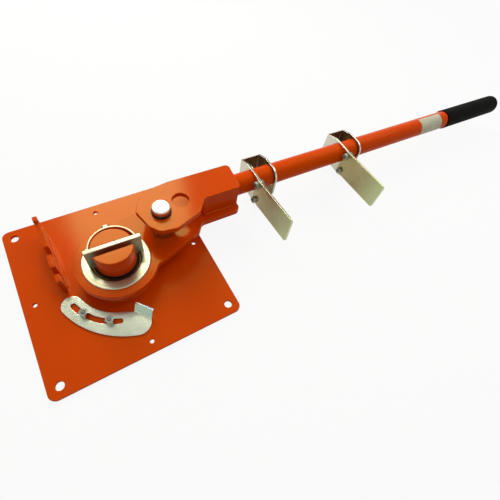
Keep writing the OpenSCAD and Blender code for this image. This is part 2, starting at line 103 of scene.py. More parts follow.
def turned(angle, axis="Z"):
    return Matrix.Rotation(math.radians(angle), 4, axis)


def moved(x, y, z):
    return Matrix.Translation((x * MM, y * MM, z * MM))


ON_LEVER = turned(LEVER_REST)
ON_SLOT = turned(SLOT_TURN)
ALONG_TUBE = turned(90, "Z") @ turned(90, "X")


def on_tube(x, tilt=0):
    """Place on the tube's axis: X runs back, Y up and Z along the tube."""
    return ON_LEVER @ moved(x, TUBE_Y, TUBE_Z) @ ALONG_TUBE @ turned(-tilt)


# Shader building

def node(tree, kind, inputs=None, **settings):
    made = tree.nodes.new(kind)
    for name, value in settings.items():
        setattr(made, name, value)
    for name, value in (inputs or {}).items():
        socket = made.inputs[name]
        if isinstance(value, bpy.types.NodeSocket):
            tree.links.new(value, socket)
        else:
            socket.default_value = value
    return made


def math_node(tree, operation, a, b, clamp=False):
    made = node(tree, "ShaderNodeMath", {0: a, 1: b}, operation=operation, use_clamp=clamp)
    return made.outputs[0]


def plus(tree, a, b):
    return math_node(tree, "ADD", a, b)


def minus(tree, a, b):
    return math_node(tree, "SUBTRACT", a, b)


def times(tree, a, b, clamp=False):
    return math_node(tree, "MULTIPLY", a, b, clamp)


def larger(tree, a, b):
    return math_node(tree, "MAXIMUM", a, b)


def ramp(tree, value, low, high):
    """Value rescaled so that low gives 0 and high gives 1, clamped."""
    made = node(tree, "ShaderNodeMapRange", {"Value": value, "From Min": low, "From Max": high})
    return made.outputs["Result"]


def spread(tree, value, low, high):
    """Value from 0 to 1 rescaled to run from low to high."""
    made = node(tree, "ShaderNodeMapRange", {"Value": value, "To Min": low, "To Max": high})
    return made.outputs["Result"]


def mix_colour(tree, factor, a, b):
    """Colour from a to b as the factor goes from 0 to 1: sockets 6 and 7 in, and 2 out."""
    made = node(tree, "ShaderNodeMix", {0: factor, 6: a, 7: b}, data_type="RGBA")
    return made.outputs[2]


def object_place(tree):
    return node(tree, "ShaderNodeTexCoord").outputs["Object"]


def length_of(tree, vector):
    return node(tree, "ShaderNodeVectorMath", {0: vector}, operation="LENGTH").outputs["Value"]


def noise(tree, scale, detail=3.0, roughness=0.5, place=None):
    made = node(tree, "ShaderNodeTexNoise", {
        "Vector": place or object_place(tree),
        "Scale": scale, "Detail": detail, "Roughness": roughness})
    return made.outputs["Fac"]


def rings_noise(tree, turns, scale, detail):
    """Noise along one line, for rings about an axis."""
    made = node(tree, "ShaderNodeTexNoise", {"W": turns, "Scale": scale, "Detail": detail},
                noise_dimensions="1D")
    return made.outputs["Fac"]


def voronoi(tree, scale, feature):
    return node(tree, "ShaderNodeTexVoronoi", {"Vector": object_place(tree), "Scale": scale},
                feature=feature).outputs


def shader_group(name, inputs, outputs):
    """Empty shader node group with inputs (name, kind, default) and outputs (name, kind)."""
    tree = bpy.data.node_groups.new(name, "ShaderNodeTree")
    for label, kind, default in inputs:
        socket = tree.interface.new_socket(label, in_out="INPUT", socket_type=kind)
        socket.default_value = default
    for label, kind in outputs:
        tree.interface.new_socket(label, in_out="OUTPUT", socket_type=kind)
    given = tree.nodes.new("NodeGroupInput").outputs
    return tree, given, tree.nodes.new("NodeGroupOutput").inputs


FLOAT = "NodeSocketFloat"
VECTOR = "NodeSocketVector"


def make_edge_rub():
    """Mask of the rubbed places along rounded edges."""
    tree, given, result = shader_group(
        "edge_rub", [("Amount", FLOAT, 0.5), ("Scale", FLOAT, 160.0)], [("Mask", FLOAT)])
    rim = node(tree, "ShaderNodeAttribute", attribute_name="rim").outputs["Fac"]
    patches = noise(tree, given["Scale"], 5.0, 0.65)
    limit = minus(tree, 1.0, given["Amount"])
    over = minus(tree, patches, times(tree, limit, 0.8))
    mask = times(tree, over, 7.0, clamp=True)
    tree.links.new(times(tree, mask, rim), result["Mask"])
    return tree


def make_handling_marks():
    """Fine scratches in two directions, and broad cloudy smears."""
    tree, _, result = shader_group(
        "handling_marks", [], [("Scratches", FLOAT), ("Smears", FLOAT)])
    lines = []
    for turn, stretch in ((0.5, (900, 14, 14)), (2.1, (14, 1100, 14))):
        laid = node(tree, "ShaderNodeMapping", {
            "Vector": object_place(tree), "Rotation": (0.2, 0.3, turn), "Scale": stretch})
        hair = noise(tree, 1.0, 2.0, 0.5, laid.outputs[0])
        lines.append(ramp(tree, hair, 0.66, 0.76))
    tree.links.new(larger(tree, *lines), result["Scratches"])
    cloud = noise(tree, 22.0, 4.0, 0.6)
    tree.links.new(ramp(tree, cloud, 0.38, 0.66), result["Smears"])
    return tree


def make_turning_marks():
    """Concentric tool marks of a turned face about an upright axis, and the reach from it."""
    tree, given, result = shader_group(
        "turning_marks", [("Axis", VECTOR, (0, 0, 0)), ("Rings", FLOAT, 1200.0)],
        [("Height", FLOAT), ("Sheen", FLOAT), ("Reach", FLOAT)])
    local = node(tree, "ShaderNodeVectorMath", {0: object_place(tree), 1: given["Axis"]},
                 operation="SUBTRACT").outputs["Vector"]
    parts = node(tree, "ShaderNodeSeparateXYZ", {"Vector": local}).outputs
    flat = node(tree, "ShaderNodeCombineXYZ", {"X": parts["X"], "Y": parts["Y"]})
    reach = length_of(tree, flat.outputs["Vector"])
    along = times(tree, reach, given["Rings"])
    turns = plus(tree, along, times(tree, parts["Z"], given["Rings"]))
    tree.links.new(rings_noise(tree, turns, 1.0, 3.0), result["Height"])
    tree.links.new(rings_noise(tree, turns, 0.14, 2.0), result["Sheen"])
    tree.links.new(reach, result["Reach"])
    return tree


edge_rub = make_edge_rub()
handling_marks = make_handling_marks()
turning_marks = make_turning_marks()


def use(tree, group, **inputs):
    """Places a shader group in a material with its own values."""
    made = node(tree, "ShaderNodeGroup", node_tree=group)
    for name, value in inputs.items():
        made.inputs[name].default_value = value
    return made.outputs


def new_material(name, constants):
    """Material with a Principled shader, and constants set on the shader's own sockets."""
    material = bpy.data.materials.new(name)
    material.use_nodes = True
    tree = material.node_tree
    tree.nodes.clear()
    shader = node(tree, "ShaderNodeBsdfPrincipled", constants)
    out = tree.nodes.new("ShaderNodeOutputMaterial")
    tree.links.new(shader.outputs["BSDF"], out.inputs["Surface"])
    return material, tree, shader.inputs


def bump(tree, height, strength, distance):
    made = node(tree, "ShaderNodeBump", {
        "Height": height, "Strength": strength, "Distance": distance})
    return made.outputs["Normal"]


def srgb(r, g, b):
    """Linear colour of an 8-bit display colour."""
    def linear(v):
        v /= 255
        return v / 12.92 if v <= 0.04045 else ((v + 0.055) / 1.055) ** 2.4
    return (linear(r), linear(g), linear(b), 1.0)


# Finishes

def orange_enamel(name, gloss):
    """Stoved orange enamel with a slight orange-peel surface and rubbed edges."""
    material, tree, into = new_material(
        name, {"Specular IOR Level": gloss, "Specular Tint": (0.90, 0.92, 0.25, 1.0)})
    drift = noise(tree, 5.0, 2.0)
    colour = mix_colour(tree, ramp(tree, drift, 0.3, 0.7), srgb(216, 68, 0), srgb(222, 74, 0))
    fine = noise(tree, 1400.0, 2.0)
    colour = mix_colour(tree, spread(tree, fine, 0.0, 0.10), colour, srgb(186, 52, 0))
    marks = use(tree, handling_marks)
    rub = use(tree, edge_rub, Amount=0.42, Scale=190.0)["Mask"]
    chip = use(tree, edge_rub, Amount=0.30, Scale=420.0)["Mask"]
    colour = mix_colour(tree, times(tree, rub, 0.4), colour, srgb(232, 112, 30))
    colour = mix_colour(tree, times(tree, chip, 0.5), colour, srgb(120, 104, 92))
    tree.links.new(colour, into["Base Color"])
    rough = spread(tree, marks["Smears"], 0.13, 0.17)
    rough = plus(tree, rough, times(tree, marks["Scratches"], 0.05))
    rough = plus(tree, rough, times(tree, rub, 0.25))
    tree.links.new(rough, into["Roughness"])
    peel = plus(tree, noise(tree, 1500.0, 2.0), times(tree, noise(tree, 600.0), 0.5))
    tree.links.new(bump(tree, peel, 0.02, 0.0003), into["Normal"])
    return material


def zinc_finish(name, metal, pale, tint, rough_low, rough_high, rub_colour, far=None):
    """Zinc plating with a tint that drifts over the sheet, rolling grain and fine scratches.

    A far tint comes in toward the free end of a flag: the browner zinc near the tube, fading to the
    paler, greener far tint, is a painted reflection of the orange tube.
    """
    material, tree, into = new_material(name, {"Metallic": metal})
    drift = ramp(tree, noise(tree, 26.0, 4.0, 0.6), 0.34, 0.68)
    colour = mix_colour(tree, drift, pale, tint)
    # Painted reflection of the orange tube, fading toward the flag's free end
    if far:
        across = node(tree, "ShaderNodeSeparateXYZ", {"Vector": object_place(tree)}).outputs["Y"]
        outward = ramp(tree, across, -30 * MM, -100 * MM)
        colour = mix_colour(tree, outward, colour, far)
    cells = voronoi(tree, 900.0, "F1")["Color"]
    speck = node(tree, "ShaderNodeRGBToBW", {"Color": cells}).outputs[0]
    colour = mix_colour(tree, spread(tree, speck, 0.0, 0.16), colour, srgb(96, 98, 88))
    marks = use(tree, handling_marks)
    rub = use(tree, edge_rub, Amount=0.75, Scale=120.0)["Mask"]
    colour = mix_colour(tree, times(tree, marks["Scratches"], 0.25), colour, rub_colour)
    colour = mix_colour(tree, times(tree, rub, 0.75), colour, rub_colour)
    tree.links.new(colour, into["Base Color"])
    rough = spread(tree, marks["Smears"], rough_low, rough_high)
    rough = minus(tree, rough, times(tree, rub, 0.1))
    tree.links.new(rough, into["Roughness"])
    laid = node(tree, "ShaderNodeMapping", {
        "Vector": object_place(tree), "Scale": (1500, 160, 160)})
    grain = noise(tree, 1.0, 3.0, 0.6, laid.outputs[0])
    height = plus(tree, grain, times(tree, speck, 0.3))
    tree.links.new(bump(tree, height, 0.16, 0.0002), into["Normal"])
    return material


def turned_finish(name, bright, dull, axis, rings, rough_low, rough_high, bore=0):
    """Turned steel with tool marks about an upright axis, and a dark greasy band at the edge of any
    bore that is also painted shade and a painted reflection of the dark gap beside it.
    """
    material, tree, into = new_material(name, {"Metallic": 1.0})
    marks = use(tree, turning_marks, Axis=axis, Rings=rings)
    wear = use(tree, handling_marks)
    colour = mix_colour(tree, ramp(tree, marks["Sheen"], 0.3, 0.7), bright, dull)
    stain = ramp(tree, noise(tree, 60.0, 4.0, 0.6), 0.52, 0.74)
    colour = mix_colour(tree, times(tree, stain, 0.22), colour, srgb(150, 140, 116))
    # Dark greasy band round the bore, also painted shade and a painted reflection of the dark gap
    # round the post
    if bore:
        ragged = times(tree, noise(tree, 120.0, 3.0), 1.6 * MM)
        edge = minus(tree, marks["Reach"], ragged)
        grease_and_shade = ramp(tree, edge, (bore + 1.4) * MM, bore * MM)
        colour = mix_colour(tree, grease_and_shade, colour, srgb(30, 26, 16))
    tree.links.new(colour, into["Base Color"])
    rough = spread(tree, marks["Sheen"], rough_low, rough_high)
    rough = plus(tree, rough, times(tree, wear["Scratches"], 0.1))
    tree.links.new(rough, into["Roughness"])
    tree.links.new(bump(tree, marks["Height"], 0.03, 0.0001), into["Normal"])
    return material


def bearing_bronze():
    """Cast bronze, mottled and slightly rough."""
    material, tree, into = new_material("bearing_bronze", {"Metallic": 1.0})
    drift = ramp(tree, noise(tree, 70.0, 4.0), 0.35, 0.65)
    colour = mix_colour(tree, drift, srgb(196, 150, 86), srgb(158, 112, 58))
    tree.links.new(colour, into["Base Color"])
    tree.links.new(spread(tree, noise(tree, 300.0), 0.28, 0.46), into["Roughness"])
    tree.links.new(bump(tree, noise(tree, 900.0), 0.15, 0.0002), into["Normal"])
    return material


def grip_rubber():
    """Black moulded rubber with a fine matt grain and a few pale rubbed places."""
    material, tree, into = new_material("grip_rubber", {"Specular IOR Level": 0.04})
    drift = ramp(tree, noise(tree, 30.0, 4.0, 0.6), 0.4, 0.7)
    colour = mix_colour(tree, drift, srgb(5, 6, 2), srgb(11, 12, 7))
    dust = ramp(tree, noise(tree, 700.0, 3.0, 0.6), 0.62, 0.75)
    colour = mix_colour(tree, times(tree, dust, 0.2), colour, srgb(60, 60, 52))
    tree.links.new(colour, into["Base Color"])
    tree.links.new(spread(tree, noise(tree, 45.0, 3.0), 0.50, 0.70), into["Roughness"])
    pebble = voronoi(tree, 1300.0, "SMOOTH_F1")["Distance"]
    height = plus(tree, pebble, times(tree, noise(tree, 260.0), 0.6))
    tree.links.new(bump(tree, height, 0.35, 0.0003), into["Normal"])
    return material


def label_film():
    """Blank pale film, slightly yellowed and lifted at places."""
    material, tree, into = new_material("label_film", {"Specular IOR Level": 0.4})
    drift = ramp(tree, noise(tree, 60.0, 4.0, 0.6), 0.35, 0.7)
    colour = mix_colour(tree, drift, srgb(206, 201, 174), srgb(186, 182, 152))
    fibres = noise(tree, 900.0, 3.0, 0.6)
    colour = mix_colour(tree, spread(tree, fibres, 0.0, 0.12), colour, srgb(150, 148, 126))
    tree.links.new(colour, into["Base Color"])
    tree.links.new(spread(tree, noise(tree, 80.0), 0.36, 0.55), into["Roughness"])
    tree.links.new(bump(tree, noise(tree, 150.0, 3.0), 0.12, 0.0004), into["Normal"])
    return material


PIN_AXIS = ON_LEVER @ Vector((*PIN_AT, 0)) * MM

ENAMEL = orange_enamel("orange_enamel", 0.30)
SIDE_ENAMEL = orange_enamel("side_enamel", 0.06)
SATIN_ZINC = zinc_finish(
    "satin_zinc", 1.0, srgb(198, 204, 178), srgb(184, 191, 163), 0.42, 0.52, srgb(224, 228, 208))
NUT_ZINC = zinc_finish(
    "nut_zinc", 1.0, srgb(200, 208, 194), srgb(172, 182, 166), 0.14, 0.22, srgb(232, 236, 226))
STUD_ZINC = zinc_finish(
    "stud_zinc", 1.0, srgb(128, 132, 120), srgb(104, 108, 96), 0.26, 0.40, srgb(200, 202, 190))
BRIGHT_ZINC = zinc_finish(
    "bright_zinc", 1.0, srgb(232, 238, 212), srgb(218, 227, 198), 0.20, 0.30, srgb(240, 242, 232))
# Painted reflection: a brighter, bluer copy of the sheet's zinc for the upturned tab
PAINTED_TAB_REFLECTION_ZINC = zinc_finish(
    "painted_tab_reflection_zinc", 1.0, srgb(240, 255, 255), srgb(226, 250, 252), 0.14, 0.22, srgb(244, 250, 248))
SHINY_ZINC = zinc_finish(
    "shiny_zinc", 1.0, srgb(222, 222, 204), srgb(206, 206, 182), 0.16, 0.26, srgb(240, 240, 232))
# Flag zinc with a painted reflection of the orange tube near the tube
DULL_ZINC = zinc_finish(
    "dull_zinc", 1.0, srgb(184, 174, 128), srgb(164, 154, 106), 0.20, 0.32, srgb(232, 230, 208),
    srgb(212, 228, 170))
TURNED_RING = turned_finish(
    "turned_ring", srgb(204, 202, 172), srgb(182, 178, 144), (0, 0, 0), 1500.0, 0.24, 0.34,
    RING_BORE)
TURNED_PIN = turned_finish(
    "turned_pin", srgb(240, 240, 236), srgb(214, 212, 204), PIN_AXIS, 1800.0, 0.20, 0.32)
HARD_ROLLER = turned_finish(
    "hard_roller", srgb(206, 192, 170), srgb(172, 158, 136), PIN_AXIS, 1300.0, 0.20, 0.32)
SPRING_STEEL = turned_finish(
    "spring_steel", srgb(66, 48, 36), srgb(46, 34, 26), PIN_AXIS, 2200.0, 0.30, 0.44)
FLAG_NUT_ZINC = zinc_finish(
    "flag_nut_zinc", 0.5, srgb(190, 200, 186), srgb(162, 174, 160), 0.30, 0.42, srgb(220, 226, 214))
# Painted shade: a darker, browner copy of the zinc for the inside of the clips
PAINTED_SHADE_ZINC = zinc_finish(
    "painted_shade_zinc", 0.7, srgb(156, 124, 84), srgb(124, 102, 66), 0.28, 0.40, srgb(190, 182, 150))
STRAP_ZINC = zinc_finish(
    "strap_zinc", 1.0, srgb(208, 190, 156), srgb(192, 172, 136), 0.42, 0.52, srgb(222, 210, 184))
# Painted reflection of the orange post, as a plain orange colour on the inside of the strap
POST_REFLECTION_ZINC = zinc_finish(
    "painted_post_reflection_zinc", 0.0, srgb(240, 132, 62), srgb(226, 116, 50), 0.42, 0.52, srgb(240, 170, 110))
# Greased bare steel, made near black also as painted shade in the gap inside the hub ring
GREASE_AND_SHADE_STEEL = zinc_finish(
    "greased_steel_and_shade", 0.6, srgb(34, 28, 20), srgb(22, 18, 12), 0.30, 0.45, srgb(70, 62, 50))
BRONZE = bearing_bronze()
RUBBER = grip_rubber()
LABEL = label_film()


# Mesh building

def piece(name, bm, material, body, replaced=(), smooth_below=50):
    """Finished piece from a bmesh, riding on a body and standing for CAD nodes."""
    mesh = bpy.data.meshes.new(name)
    bm.to_mesh(mesh)
    bm.free()
    mesh.materials.append(material)
    mesh.shade_smooth()
    mesh.set_sharp_from_angle(angle=math.radians(smooth_below))
    made = bpy.data.objects.new(name, mesh)
    bpy.context.scene.collection.objects.link(made)
    even = made.modifiers.new("even_normals", "WEIGHTED_NORMAL")
    even.keep_sharp = True
    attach(made, body)
    if replaced:
        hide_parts(*replaced)
    return made


def softened(name, rim, material, body, others=(), split=None):
    """CAD node with its triangles joined, its flats merged and its sharp edges rounded.

    The others are pairs of a finish and a test that picks its faces. The split is a height at
    which faces are cut first.
    """
    bm = bmesh.new()
    bm.from_mesh(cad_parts[name].data)
    bmesh.ops.remove_doubles(bm, verts=bm.verts, dist=JOIN_WITHIN * MM)
    bmesh.ops.dissolve_limit(
        bm, angle_limit=math.radians(FLAT_BELOW), verts=bm.verts, edges=bm.edges)
    mark = bm.loops.layers.float.new("rim")
    sharp = math.radians(CORNER_ABOVE)
    corners = [e for e in bm.edges if e.is_manifold and e.calc_face_angle() > sharp]
    rounded = bmesh.ops.bevel(
        bm, geom=corners, offset=rim * MM, offset_type="OFFSET", affect="EDGES", segments=2,
        profile=0.5, material=-1, clamp_overlap=False, loop_slide=False)
    for face in rounded["faces"]:
        for loop in face.loops:
            loop[mark] = 1.0
    if split:
        everything = bm.verts[:] + bm.edges[:] + bm.faces[:]
        bmesh.ops.bisect_plane(
            bm, geom=everything, plane_co=(0, 0, split * MM), plane_no=(0, 0, 1))
    for face in bm.faces:
        picked = [i for i, (_, picks) in enumerate(others, 1) if picks(face)]
        face.material_index = picked[0] if picked else 0
    made = piece(name + "_soft", bm, material, body, [name])
    for finish, _ in others:
        made.data.materials.append(finish)


def add_to(whole, bm, place=Matrix(), join=0.0005):
    """Joins, turns outwards and places one shape, then adds it to a piece."""
    bmesh.ops.remove_doubles(bm, verts=bm.verts, dist=join * MM)
    bmesh.ops.recalc_face_normals(bm, faces=bm.faces)
    bmesh.ops.transform(bm, matrix=place, verts=bm.verts)
    carrier = bpy.data.meshes.new("carrier")
    bm.to_mesh(carrier)
    bm.free()
    whole.from_mesh(carrier)
    bpy.data.meshes.remove(carrier)


def lathe(whole, outline, place, steps=64):
    """Turned body from (radius, height) points in millimetres, about the place's Z axis."""
    bm = bmesh.new()
    points = [bm.verts.new((r * MM, 0, z * MM)) for r, z in outline]
    edges = [bm.edges.new(pair) for pair in zip(points, points[1:])]
    bmesh.ops.spin(
        bm, geom=points + edges, cent=(0, 0, 0), axis=(0, 0, 1), angle=math.tau, steps=steps,
        use_merge=True)
    add_to(whole, bm, place)


def only(kind, elements):
    return [e for e in elements if isinstance(e, kind)]


def grow(bm, edges):
    """Extrudes a ring of edges, and gives the new ring's points and edges."""
    grown = bmesh.ops.extrude_edge_only(bm, edges=edges)["geom"]
    ring = only(bmesh.types.BMVert, grown)
    return ring, [e for e in only(bmesh.types.BMEdge, grown) if all(v in ring for v in e.verts)]


def thread(whole, radius, pitch, low, high, place):
    """Helical ridge of a screw thread, sunk into its core."""
    bm = bmesh.new()
    sunk = 0.25
    foot = radius - 0.62 * pitch - sunk
    corners = ((foot, 0), (radius, 0.42 * pitch), (radius, 0.54 * pitch), (foot, 0.96 * pitch))
    points = [bm.verts.new((r * MM, 0, (low + z) * MM)) for r, z in corners]
    edges = [bm.edges.new((points[i], points[(i + 1) % 4])) for i in range(4)]
    per_turn = 20
    steps = int(per_turn * ((high - low) / pitch - 1))
    spun = bmesh.ops.spin(
        bm, geom=points + edges, cent=(0, 0, 0), axis=(0, 0, 1),
        dvec=(0, 0, pitch * MM / per_turn), angle=math.tau * steps / per_turn, steps=steps,
        use_merge=False)
    bmesh.ops.contextual_create(bm, geom=edges)
    bmesh.ops.contextual_create(bm, geom=only(bmesh.types.BMEdge, spun["geom_last"]))
    add_to(whole, bm, place)


def hexagon_body(whole, across, height, place, bore=0.0, low_chamfer=True):
    """Hexagon nut or screw head with turned 30 degree chamfers at its corners."""
    half = across / 2
    inner = max(bore, 0.001)
    face_r = 0.94 * half
    steps = 72
    slope = math.tan(math.radians(30))
    bm = bmesh.new()
    ring = bmesh.ops.create_circle(bm, cap_ends=False, segments=steps, radius=1.0)["verts"]
    first = edges = list(bm.edges)
    levels = [(inner, 0), (face_r, 0), (None, 0), (None, height), (face_r, height), (inner, height)]
    for count, (reach, z) in enumerate(levels):
        if count:
            ring, edges = grow(bm, edges)
        for v in ring:
            angle = math.atan2(v.co.y, v.co.x)
            to_flat = angle % (math.pi / 3) - math.pi / 6
            r = reach or half / math.cos(to_flat)
            lift = 0.0 if reach else (r - face_r) * slope
            level = z - lift if z else (lift if low_chamfer else 0.0)
            v.co = Vector((math.cos(angle) * r, math.sin(angle) * r, level)) * MM
    if bore:
        bmesh.ops.bridge_loops(bm, edges=first + edges)
    add_to(whole, bm, place, join=0.004)


def weld_bead(whole, places, radius):
    """Rippled weld along a row of places, each with Z along the weld."""
    bm = bmesh.new()
    bmesh.ops.create_circle(
        bm, cap_ends=True, segments=10, radius=radius * MM, matrix=places[0])
    edges = list(bm.edges)
    before = places[0]
    for count, place in enumerate(places[1:], 1):
        ring, edges = grow(bm, edges)
        ripple = 1 + WELD_RIPPLE * math.sin(count * math.tau / 4)
        after = place @ Matrix.Diagonal((ripple, ripple, 1, 1))
        bmesh.ops.transform(bm, matrix=after @ before.inverted(), verts=ring)
        before = after
    bmesh.ops.contextual_create(bm, geom=edges)
    add_to(whole, bm)


def straight_weld(whole, start, end, radius, frame_place=Matrix()):
    a, b = Vector(start), Vector(end)
    run = b - a
    count = max(8, int(run.length / WELD_STEP))
    turn = run.to_track_quat("Z", "Y").to_matrix().to_4x4()
    steps = [a + run * i / count for i in range(count + 1)]
    weld_bead(whole, [frame_place @ moved(*at) @ turn for at in steps], radius)


def ring_weld(whole, place, reach, radius):
    count = int(math.tau * reach / WELD_STEP)
    step = 360 / count
    outward = moved(reach, 0, 0) @ turned(-90, "X")
    places = [place @ turned(step * i) @ outward for i in range(count + 1)]
    weld_bead(whole, places, radius)


# Finishes that change within one node

def inside_clip(x, tilt):
    """Picks the faces of a clip's bracket that look into it, which get painted shade."""
    into_clip = on_tube(x, tilt).inverted()
    slack = 0.01

    def test(face):
        at = into_clip @ face.calc_center_median() / MM
        between = abs(at.z - CLIP_W / 2) < CLIP_W / 2 - CLIP_SHEET + slack
        return between and at.x < CLIP_BACK - CLIP_SHEET + slack
    return test


def upright(face):
    """Picks the upright faces of a plate or post, where the enamel is less glossy."""
    return abs(face.normal.z) < 0.5


def on_tab(face):
    """Picks the upturned tab of the angle stop, which gets a painted reflection in a brighter,
    bluer zinc.
    """
    return face.calc_center_median().z > (STOP_TOP + 1.5) * MM


def toward_post(face):
    """Picks the inside of the strap, which gets a painted reflection of the orange post before it.
    """
    middle = face.calc_center_median()
    return face.normal.x * middle.x + face.normal.y * middle.y < -0.5 * middle.xy.length


def journal_grease_and_shade(face):
    """Picks the bare, greased faces of the post from its foot to the hub ring's top, which are near
    black as greased steel and as painted shade in the gap.
    """
    at = face.calc_center_median()
    return at.z < RING_TOP * MM and at.xy.length < (FOOT_R - 5) * MM


# Painted plates and the post
ORANGE_NODES = {
    "base_plate": (0.8, "base"), "comb_bracket": (0.7, "base"),
    "lower_arm_plate": (0.9, "lever"), "upper_arm_plate": (0.9, "lever"),
    "arm_cheek_front": (0.6, "lever"), "arm_cheek_back": (0.6, "lever"),
}
for name, (rim, body) in ORANGE_NODES.items():
    softened(name, rim, ENAMEL, body, [(SIDE_ENAMEL, upright)])
softened("handle_tube", 0.4, SIDE_ENAMEL, "lever")
# The journal in the hub ring's gap is near black, greased and with painted shade
softened("mandrel_post", 0.5, ENAMEL, "base",
         [(GREASE_AND_SHADE_STEEL, journal_grease_and_shade), (SIDE_ENAMEL, upright)], RING_TOP)

# Zinc plated sheet and bar
softened("former_plate", 0.5, SATIN_ZINC, "base")
# The strap's inside faces get the painted reflection of the post
softened("former_strap", 0.35, STRAP_ZINC, "base", [(POST_REFLECTION_ZINC, toward_post)])
softened("stop_plate", 0.5, BRIGHT_ZINC, "angle_stop", [(PAINTED_TAB_REFLECTION_ZINC, on_tab)])
for number in CLIPS:
    body = "length_stop_" + number
    # The inside of each bracket gets painted shade
    softened(f"clip_{number}_bracket", 0.4, SHINY_ZINC, body,
             [(PAINTED_SHADE_ZINC, inside_clip(*CLIPS[number]))])
    softened(f"clip_{number}_flag", 0.5, DULL_ZINC, body)

# Turned steel
softened("hub_ring", 0.25, TURNED_RING, "lever")
softened("pin_circlip", 0.3, SPRING_STEEL, "lever")
softened("bending_roller", 0.35, HARD_ROLLER, "roller")

# Bearing pieces inside the hub
for name in ("thrust_washer", "hub_bush"):
    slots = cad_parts[name].material_slots
    if slots:
        for entry in slots:
            entry.material = BRONZE
    else:
        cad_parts[name].data.materials.append(BRONZE)


# Roller pin with chamfered ends and the groove of its circlip

def build_pin():
    groove_r = PIN_R - GROOVE_DEPTH
    outline = [
        (0, PIN_BOTTOM), (PIN_R - 2.0, PIN_BOTTOM), (PIN_R - 1.6, PIN_BOTTOM + 0.1),
        (PIN_R - 0.15, PIN_BOTTOM + 1.5), (PIN_R, PIN_BOTTOM + 1.9),
        (PIN_R, ARM_TOP), (groove_r, ARM_TOP), (groove_r, GROOVE_TOP), (PIN_R, GROOVE_TOP),
        (PIN_R, PIN_TOP - 1.9), (PIN_R - 0.15, PIN_TOP - 1.45),
        (PIN_R - 1.45, PIN_TOP - 0.15), (PIN_R - 1.9, PIN_TOP), (0, PIN_TOP)]
    bm = bmesh.new()
    lathe(bm, outline, ON_LEVER @ moved(*PIN_AT, 0), 96)
    piece("roller_pin_turned", bm, TURNED_PIN, "lever", ["roller_pin"], 40)


build_pin()


# Rubber grip with a rolled lip at its open end and a round closed end

def build_grip():
    dome = 0.62 * GRIP_R
    shoulder = GRIP_L - dome
    outline = [
        (TUBE_R, 0.3), (TUBE_R + 0.3, 0), (GRIP_R - 0.9, 0), (GRIP_R - 0.35, 0.25),
        (GRIP_R - 0.05, 0.8), (GRIP_R + 0.15, 1.8), (GRIP_R + 0.15, 3.2), (GRIP_R, 4.2),
        (GRIP_R, shoulder)]
    for angle in range(8, 88, 8):
        a = math.radians(angle)
        outline.append((GRIP_R - dome + dome * math.cos(a), shoulder + dome * math.sin(a)))
    inside = GRIP_L - GRIP_CAP
    outline += [
        (GRIP_R - dome, GRIP_L), (0, GRIP_L), (0, inside), (TUBE_R, inside), (TUBE_R, 0.3)]
    bm = bmesh.new()
    lathe(bm, outline, on_tube(GRIP_START), 96)
    piece("handle_grip_moulded", bm, RUBBER, "lever", ["handle_grip"])


build_grip()


# Blank label round the upper front of the tube

def build_label():
    low, high = LABEL_ENDS
    rows = 30
    heights = [low + (high - low) * i / rows for i in range(rows + 1)]
    reach = TUBE_R + 0.12
    bm = bmesh.new()
    points = [bm.verts.new((reach * MM, 0, z * MM)) for z in heights]
    edges = [bm.edges.new(pair) for pair in zip(points, points[1:])]
    bmesh.ops.spin(
        bm, geom=points + edges, cent=(0, 0, 0), axis=(0, 0, 1),
        angle=math.radians(LABEL_SWEEP), steps=40)
    bmesh.ops.transform(bm, matrix=on_tube(0) @ turned(LABEL_TURN), verts=bm.verts)
    bmesh.ops.recalc_face_normals(bm, faces=bm.faces)
    made = piece("tube_label", bm, LABEL, "lever")
    wall = made.modifiers.new("film", "SOLIDIFY")
    wall.thickness = 0.1 * MM
    wall.offset = 0


build_label()


# Studs, bolts, nuts and screws

def build_stop_fasteners():
    studs, nuts = bmesh.new(), bmesh.new()
    core = [(0, 0.1), (2.3, 0.1), (M6_CORE, 0.3), (M6_CORE, 17.4), (1.8, 18.1), (0, 18.2)]
    for angle in STUD_ANGLES:
        a = math.radians(angle)
        place = moved(STUD_CIRCLE * math.cos(a), STUD_CIRCLE * math.sin(a), 0)
        seat = place @ moved(0, 0, STOP_TOP + 0.1) @ turned(angle)
        lathe(studs, core, place, 40)
        thread(studs, M6_R, M6_PITCH, 0.2, 18.3, place)
        hexagon_body(nuts, M6_ACROSS, 9, seat, M6_BORE)
    piece("stop_studs_threaded", studs, STUD_ZINC, "base", ["stop_studs"], 35)
    piece("stop_nuts_chamfered", nuts, NUT_ZINC, "base", ["stop_nuts"], 20)


def build_strap_screw():
    bm = bmesh.new()
    place = ON_SLOT @ moved(*STRAP_SCREW_AT) @ turned(-90, "X")
    lathe(bm, [(0, 0.1), (2.3, 0.1), (2.5, 0.4), (2.5, 4.4), (0, 4.4)], place, 40)
    thread(bm, M6_R, M6_PITCH, 0.0, 5.2, place)
    hexagon_body(bm, 10.2, 4.5, place @ moved(0, 0, 4.2), low_chamfer=False)
    piece("strap_screw_threaded", bm, STUD_ZINC, "base", ["strap_screw"], 20)


